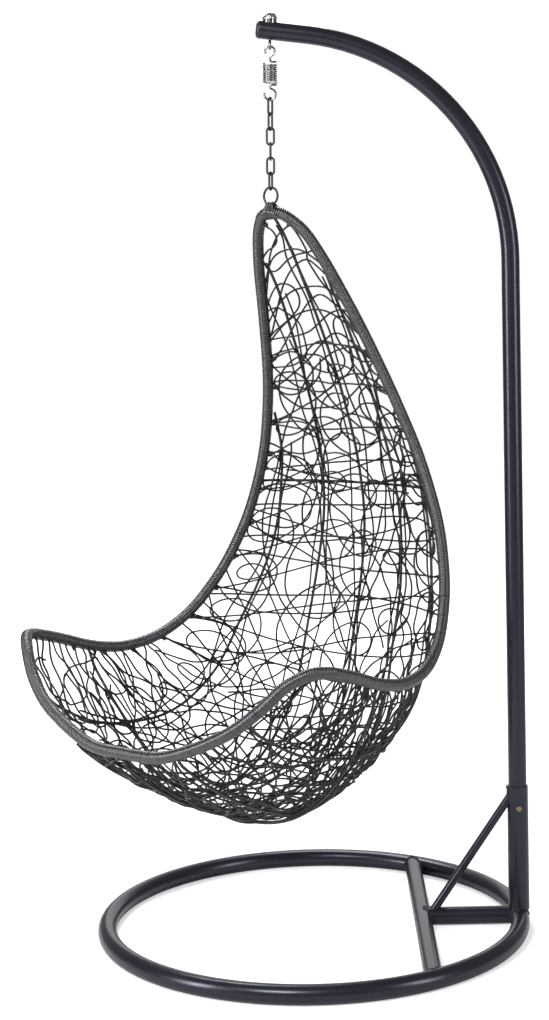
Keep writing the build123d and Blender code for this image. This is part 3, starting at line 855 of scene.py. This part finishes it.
def over_bowl(points, lift=0.0018, rise=0.0):
    """Line through points (from the middle, down), passing over and under the others."""
    route = smooth_line(np.array(points, float), route_step)
    down = np.clip(route[:, 1], 0.0, last_down)
    share = route[:, 0] / np.maximum(width_at(down), 0.001)
    run = lengths(route)
    wave = chance.uniform(0.07, 0.13)
    out = rise + lift * np.sin(2 * np.pi * run / wave + chance.uniform(0, 2 * np.pi))
    out *= np.clip((1 - np.abs(share)) / 0.05, 0, 1)
    return bowl(share, down, out)


def weave(kind, points):
    lay(kind, over_bowl(points))


def knot(side, down):
    """Point beside a rail where strands are tied together."""
    return [side * (width_at(down) - knot_in), down]


def at_rail(side, down):
    return [side * width_at(down), down]


def straight_across(first, last):
    """Strand from a knot on the left to one on the right, with little bend."""
    sag = chance.uniform(-0.02, 0.02)
    width = width_at((first + last) / 2)
    middle = [[x * width, first + (last - first) * (x + 1) / 2 + sag * (1 - x * x)
               + chance.normal(0, 0.004)] for x in (-0.5, 0.0, 0.5)]
    weave("crossing", [at_rail(-1, first - tail), knot(-1, first), *middle, knot(1, last),
                       at_rail(1, last + tail)])


def over_and_across(side, first, last, height, reach):
    """Strand that leaves a knot steeply, bends over at a height, and runs on to the other side."""
    width = width_at(first)
    bend = [[side * (width - knot_in - reach * u), first - height * v]
            for u, v in ((0.16, 0.45), (0.5, 0.85), (1.0, 1.0))]
    far = [[-side * width * x, first - height + (last - first + height) * t
            + chance.normal(0, 0.005)]
           for x, t in ((-0.05, 0.18), (0.45, 0.5)) if side * bend[-1][0] > -width * x + 0.04]
    weave("crossing", [at_rail(side, first + tail), knot(side, first), *bend, *far,
                       knot(-side, last), at_rail(-side, last - tail)])


def round_line(start, end, side, radius, advance, sway):
    """Strand that goes down the bowl in overlapping rounds, at a share of the width."""
    turns = (end - start) / advance
    angle = np.arange(0, 2 * np.pi * turns, 0.5)
    size = radius * (1 + 0.25 * np.sin(angle * 0.29 + chance.uniform(0, 6)))
    down = start + advance * angle / (2 * np.pi) + size * np.sin(angle)
    middle = side * width_at(down) + sway * np.sin(down * 5 + chance.uniform(0, 6))
    across = middle + size * np.cos(angle) * chance.choice((-1, 1))
    limit = width_at(down) - 0.012
    weave("looped", np.c_[np.clip(across, -limit, limit), down])


def side_loop(side, first, last, depth):
    """Strand that leaves a knot, turns inside the bowl, and comes back to one on the same rail."""
    middle = (first + last) / 2
    half = (last - first) / 2 + chance.uniform(0.0, 0.018)
    width = width_at(middle)
    turn = [[side * (width - knot_in - depth * u), middle - half * v]
            for u, v in ((0.22, 1.0), (0.62, 1.05), (0.93, 0.62), (1.0, 0.0), (0.9, -0.66),
                         (0.55, -1.05), (0.2, -0.95))]
    weave("looped", [at_rail(side, first + tail), knot(side, first), *turn, knot(side, last),
                     at_rail(side, last - tail)])


def wander(start, angle, length, curl, straighten):
    """Points of a strand that bends smoothly from a start until it meets the rim."""
    step = 0.025
    points = [list(start)]
    way = math.radians(angle)
    drift = 0.0
    for n in range(int(length / step)):
        drift = 0.85 * drift + chance.normal(0, 0.16)
        way += (curl * math.exp(-((n * step / straighten) ** 2)) + drift) * step / 0.1
        x, down = points[-1][0] + step * math.cos(way), points[-1][1] + step * math.sin(way)
        points.append([x, down])
        if down > last_down - 0.003 or down < 0.03 or abs(x) > width_at(down):
            break
    return points


def both_ways(top, bottom, curl, length=1.5, straighten=0.2, lift=0.003, spread=180.0,
              middle=0.85):
    """Strand from rim to rim through a chance point between two places down the bowl."""
    down = chance.uniform(top, bottom)
    start = (chance.uniform(-middle, middle) * width_at(down), down)
    angle = chance.uniform(-spread, spread)
    ahead = wander(start, angle, length, curl, straighten)
    behind = wander(start, angle + 180, length, -curl, straighten)
    return over_bowl(behind[:0:-1] + ahead, lift, chance.choice((0.0, 0.0, 0.003)))


def bow(least, most):
    """Curl to one side or the other."""
    return chance.choice((-1, 1)) * chance.uniform(least, most)


def loose_end():
    """Short strand whose cut ends stay free."""
    down = chance.uniform(0.35, 1.8)
    start = (chance.uniform(-0.85, 0.85) * width_at(down), down)
    points = wander(start, chance.uniform(0, 360), chance.uniform(0.1, 0.22),
                    chance.uniform(-0.8, 0.8), 0.3)
    return over_bowl(points) if len(points) > 3 else None


def tie(side, down):
    """Turns of strand round a tied pair."""
    share = knot(side, down)[0] / width_at(down)
    middle, inner = bowl(np.array([share, share - side * 0.02]), np.array([down, down]), 0.0)
    way = unit(inner - middle)
    first = unit(np.cross(way, skew))
    second = np.cross(way, first)
    angle = np.linspace(0, 2 * np.pi * knot_turns, knot_points)[:, None]
    reach = np.linspace(-0.5, 0.5, knot_points)[:, None] * chance.uniform(0.006, 0.009)
    coil = knot_size / 2 * (np.cos(angle) * first + np.sin(angle) * second * 0.8)
    strands["knots"].append(middle + coil + reach * way)


for k, down in enumerate(knot_places):
    for side in (-1, 1):
        tie(side, down)
    if down < seat_from or k % 2:
        straight_across(down + chance.normal(0, 0.004),
                        down + chance.uniform(-0.2, 0.6) * knot_spacing)
    reach = min(width_at(down) * 0.7, 0.13)
    other = knot_places[min(k + 1, len(knot_places) - 1)]
    if down < seat_from:
        over_and_across(-1, down + 0.008, other, chance.uniform(0.04, 0.065), reach)
    if k % 2 and down < seat_from:
        over_and_across(1, down - 0.008, knot_places[k - 1], -chance.uniform(0.05, 0.08),
                        reach * chance.uniform(0.5, 1))
    if k + 1 < len(knot_places):
        for side in (-1, 1):
            if down > seat_from or side == (-1 if k % 2 else 1):
                side_loop(side, down + 0.006, other - 0.006,
                          min(width_at(down) * 1.1, chance.uniform(0.08, 0.17)))
for side, advance in ((-0.66, 0.125), (-0.30, 0.15), (0.06, 0.115), (0.38, 0.14), (0.70, 0.12)):
    round_line(0.30 + 0.1 * abs(side), last_down - 0.05, side, chance.uniform(0.048, 0.068),
               advance, 0.02)

# Strands laid beside the ribs and hoops, now and then crossing them
for name, line in rod_lines.items():
    part = line[::10]
    inward = np.array([shell.find_nearest(Vector(p))[0] for p in part]) - part
    for _ in range(8):  # evened out along the line
        inward[1:-1] = (inward[:-2] + inward[1:-1] * 2 + inward[2:]) / 4
    inward = unit(inward)
    beside = np.cross(unit(np.gradient(part, axis=0)), inward)
    run = lengths(part)
    for base in beside_rib:
        offset = base + 0.010 * np.sin(run * chance.uniform(5, 9) + chance.uniform(0, 6))
        offset += 0.006 * np.sin(run * chance.uniform(16, 26) + chance.uniform(0, 6))
        depth = rib_size / 2 + 0.0015 * np.sin(run * 50 + chance.uniform(0, 6)) - 0.002
        first, last = chance.integers(0, 6), len(part) - chance.integers(0, 8)
        route = part + beside * offset[:, None] + inward * depth[:, None]
        lay("beside_ribs", smooth_line(route[first:last], route_step))

# Strands laid freely where there is room, straight ones and ones with a bow in them
for _ in range(back_strands):
    lay_best("seat", 10, lambda: both_ways(0.35, 0.85, 0.0, 0.9))
    lay_best("seat", 10, lambda: both_ways(0.30, 0.85, bow(0.9, 1.5), 0.7))
for _ in range(middle_strands):
    lay_best("seat", 16, lambda: both_ways(0.85, 1.25, 0.0, 0.6, spread=70))
    lay_best("seat", 16, lambda: both_ways(0.85, last_down, 0.0))
    lay_best("seat", 16, lambda: both_ways(0.80, last_down, bow(0.8, 1.5)))
for _ in range(seat_strands):
    lay_best("seat", 16, lambda: both_ways(1.20, 1.80, chance.uniform(-0.7, 0.7),
                                           chance.uniform(0.25, 0.5), lift=0.0045, middle=0.6))
for _ in range(loose_ends):
    lay_best("looped", 4, loose_end)

for kind, lines in strands.items():
    piece = grown("weave_" + kind, lines, laid, Radius=strand_size / 2,
                  Step=knot_step if kind == "knots" else strand_step, Sides=6, Unevenness=0.08,
                  Material=finishes["weave_strand"])
    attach(piece, "basket")
    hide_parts("woven_bowl")

# ---- Strand lashed round the rim and the bottom of the hanging ring
lug_low, lug_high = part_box("ring_lug")
ring_low, ring_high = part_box("hanging_ring")
ring_bottom = np.array(((ring_low.x + ring_high.x) / 2, (ring_low.y + ring_high.y) / 2,
                        ring_low.z + ring_wire / 2))
lug_width = max(lug_high.x - lug_low.x, lug_high.y - lug_low.y)
lashing = []
for n in range(lash_turns):
    place = ((n + 0.5) / lash_turns - 0.5) * lug_width
    centre = along(left_rail if place > 0 else right_rail, abs(place))
    top = ring_bottom + sideways * place * lash_narrow
    up_way = unit(top - centre)
    over_way = unit(np.cross(sideways, up_way))
    angle = np.linspace(-np.pi / 2, np.pi * 1.5, lash_points, endpoint=False)[:, None]
    low = np.sin(angle) < 0.25  # round the rim, and above that round the ring
    radius = np.where(low, rim_size / 2 + lash_size * lash_sunk, lash_round_ring)
    middle = np.where(low, centre, top)
    lean = sideways * lash_lean * np.sin(angle)
    lashing.append(middle + radius * (np.cos(angle) * over_way + np.sin(angle) * up_way) + lean)
piece = grown("ring_lashing", lashing, laid, closed=True, Radius=lash_size / 2, Step=0.0015,
              Sides=8, Unevenness=0.06, Material=finishes["rim_lashing"])
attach(piece, "basket")
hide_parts("ring_lug")

# ---- Spring's coil
coil_low, coil_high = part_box("spring_coil")
coil_middle = (coil_low + coil_high) / 2
coil_radius = (coil_high.x - coil_low.x - spring_wire) / 2
angle = np.linspace(0, 2 * np.pi * coil_turns, coil_points)
rise = np.linspace(coil_low.z + spring_wire / 2, coil_high.z - spring_wire / 2, coil_points)
coil_line = np.stack([coil_middle.x + coil_radius * np.cos(angle), coil_radius * np.sin(angle),
                      rise], axis=1)
coil = grown("spring_wire", [coil_line], laid, Radius=coil_wire / 2, Step=0.001, Sides=14,
             Unevenness=0.0, Material=finishes["bright_zinc"])
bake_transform(coil)
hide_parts("spring_coil")

# ---- Weld beads where the stand's tubes meet


def bead_shape():
    """Ripples of a weld bead, laid one over the other along a seam."""
    graph, given = new_shape("weld_bead", ("Bead Radius", "Ripple", "Unevenness"), ("Seed",))
    points = graph.shape("CurveToPoints", "Points", {"mode": "LENGTH"},
                         Curve=given["Geometry"], Length=given["Ripple"])
    turned = graph.add("FunctionNodeRandomValue", {"data_type": "FLOAT_VECTOR"},
                       {"Min": (0, 0, 0), "Max": (6.28, 6.28, 6.28), "Seed": given["Seed"]},
                       "Value")
    size = graph.add("FunctionNodeRandomValue", {"data_type": "FLOAT"},
                     {"Min": 1.0 - given["Unevenness"], "Max": 1.0 + given["Unevenness"],
                      "Seed": given["Seed"] + 1.0}, "Value")
    drop = graph.shape("MeshIcoSphere", "Mesh", Radius=given["Bead Radius"], Subdivisions=2)
    beads = graph.shape("InstanceOnPoints", Points=points, Instance=drop, Scale=size,
                        Rotation=turned)
    return finish_shape(graph, beads, given)


def seam(names, start, axis, size, most):
    """Line where a tube from start, run on along an axis, meets other pieces."""
    axis = unit(np.array(axis, float))
    side = np.array((1.0, 0.0, 0.0))
    if abs(axis[1]) < 0.9:
        side = unit(np.cross(axis, (0.0, 1.0, 0.01)))
    over = np.cross(axis, side)
    tree = solid_tree(np.concatenate([node_triangles(name) for name in names]))
    lines = [[]]
    for angle in np.linspace(0, 2 * np.pi, seam_points):
        place = np.array(start) + (side * math.cos(angle) + over * math.sin(angle)) * (
            size / 2 + tube_clear)
        hit = tree.ray_cast(Vector(place), Vector(axis), most)
        if hit[0] is None or hit[0].z < floor_clear:
            lines.append([])
        else:
            lines[-1].append(np.array(hit[0]))
    return [np.array(line) for line in lines if len(line) > 3]


bar_low, bar_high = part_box("base_crossbar")
strut_low, strut_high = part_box("base_strut")
sleeve_low, sleeve_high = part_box("mast_sleeve")
brace_low, brace_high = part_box("diagonal_brace")
bar_mid = (bar_low + bar_high) / 2
strut_mid = (strut_low + strut_high) / 2
sleeve_mid = (sleeve_low + sleeve_high) / 2
brace_mid = (brace_low + brace_high) / 2
bar_size = bar_high.z - bar_low.z
sleeve_size = sleeve_high.y - sleeve_low.y
brace_size = brace_high.y - brace_low.y
brace_way = (0.164, 0.0, 0.241)  # up the brace
seams = [
    *seam(["base_ring"], bar_mid, (0, 1, 0), bar_size, 0.5),
    *seam(["base_ring"], bar_mid, (0, -1, 0), bar_size, 0.5),
    *seam(["base_ring"], strut_mid, (1, 0, 0), bar_size, 0.2),
    *seam(["base_crossbar"], strut_mid, (-1, 0, 0), bar_size, 0.2),
    *seam(["base_ring"], sleeve_mid, (0, 0, -1), sleeve_size, 0.3),
    *seam(["mast_sleeve"], brace_mid, brace_way, brace_size, 0.3),
    *seam(["base_strut", "base_crossbar"], brace_mid, [-x for x in brace_way], brace_size, 0.3),
]
beads = grown("weld_beads", seams, bead_shape(), Bead_Radius=bead_radius, Ripple=bead_step,
              Unevenness=0.3, Seed=5, Material=finishes["frame_paint"])
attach(beads, "stand")

# ---- Floor, light and camera


def plain_floor():
    """Pale floor that fades into the white surround and keeps a soft shadow."""
    reach = 14.0
    fade_from, fade = 1.1, 0.35  # in metres from the middle, and per metre
    glow_near, glow_far = 0.50, 0.55  # the second is added on the way out
    finish = Finish("pale_floor", Roughness=0.9)
    finish.set(Base_Color=finish.mix(finish.noise(3.0), (0.80, 0.80, 0.80), (0.83, 0.83, 0.83)))
    seen = finish.add("ShaderNodeLightPath", output="Is Camera Ray")
    away = finish.add("ShaderNodeVectorMath", {"operation": "LENGTH"}, {0: finish.place}, "Value")
    bright = glow_near + ((away - fade_from) * fade).clamped() * glow_far
    glow = finish.add("ShaderNodeEmission", {}, {"Color": (1, 1, 1, 1), "Strength": seen * bright})
    lit = Wire(finish, finish.shader.outputs[0])
    both = finish.add("ShaderNodeAddShader", {}, {0: lit, 1: glow})
    finish.tree.links.new(both.socket, finish.tree.nodes["Material Output"].inputs["Surface"])
    mesh = bpy.data.meshes.new("floor")
    mesh.from_pydata([(x * reach, y * reach, 0) for x, y in ((-1, -1), (1, -1), (1, 1), (-1, 1))],
                     [], [(0, 1, 2, 3)])
    mesh.materials.append(finish.material)
    floor = placed("floor", mesh)


def white_world():
    """White surround for the camera, softer as a light and softer still in reflections."""
    as_light, in_reflections = 0.20, 0.06
    world = bpy.data.worlds.new("surround")
    world.use_nodes = True
    bpy.context.scene.world = world
    graph = Graph(world.node_tree)
    seen, through, mirrored = (graph.add("ShaderNodeLightPath", output=f"Is {ray} Ray")
                               for ray in ("Camera", "Transmission", "Glossy"))
    seen = (seen + through + mirrored * in_reflections).clamped()
    background = world.node_tree.nodes["Background"]
    world.node_tree.links.new((as_light + seen * (1.0 - as_light)).socket,
                              background.inputs["Strength"])
    background.inputs["Color"].default_value = (1, 1, 1, 1)


def soft_light(name, place, aim, size, power):
    light = bpy.data.lights.new(name, "AREA")
    light.shape = "RECTANGLE"
    light.size, light.size_y = size
    light.energy = power
    lamp = placed(name, light)
    lamp.location = place
    lamp.rotation_euler = (Vector(aim) - Vector(place)).to_track_quat("-Z", "Y").to_euler()


plain_floor()
white_world()
soft_light("light_front", (-1.3, -3.3, 3.3), (0, 0, 0.8), (1.2, 0.6), 120)
soft_light("light_left", (-3.6, -2.0, 1.7), (0, 0, 0.9), (0.7, 2.0), 120)
soft_light("light_right", (3.1, -2.2, 1.7), (0, 0, 0.9), (0.5, 2.0), 55)
soft_light("light_behind", (0.3, 4.2, 1.5), (0.2, 0, 0.1), (3.6, 1.6), 22)
soft_light("light_back", (-0.8, 2.2, 3.8), (0, 0, 0.6), (2.4, 0.8), 110)

heading, tilt, roll = math.radians(-2.794), -0.02084, math.radians(0.25)
lens = bpy.data.cameras.new("camera")
lens.sensor_width = 36.0
lens.lens = 63.564706  # millimetres
lens.shift_x, lens.shift_y = -0.12303922, -0.14705882  # shares of the longer side
camera = placed("camera", lens)
camera.matrix_world = (
    Matrix.Translation((0.0, -3.9322, 1.3269)) @ Matrix.Rotation(heading, 4, "Z")
    @ Matrix.Rotation(math.pi / 2 + tilt, 4, "X") @ Matrix.Rotation(-roll, 4, "Z"))
bpy.context.scene.camera = camera
bpy.context.scene.view_settings.view_transform = "Standard"
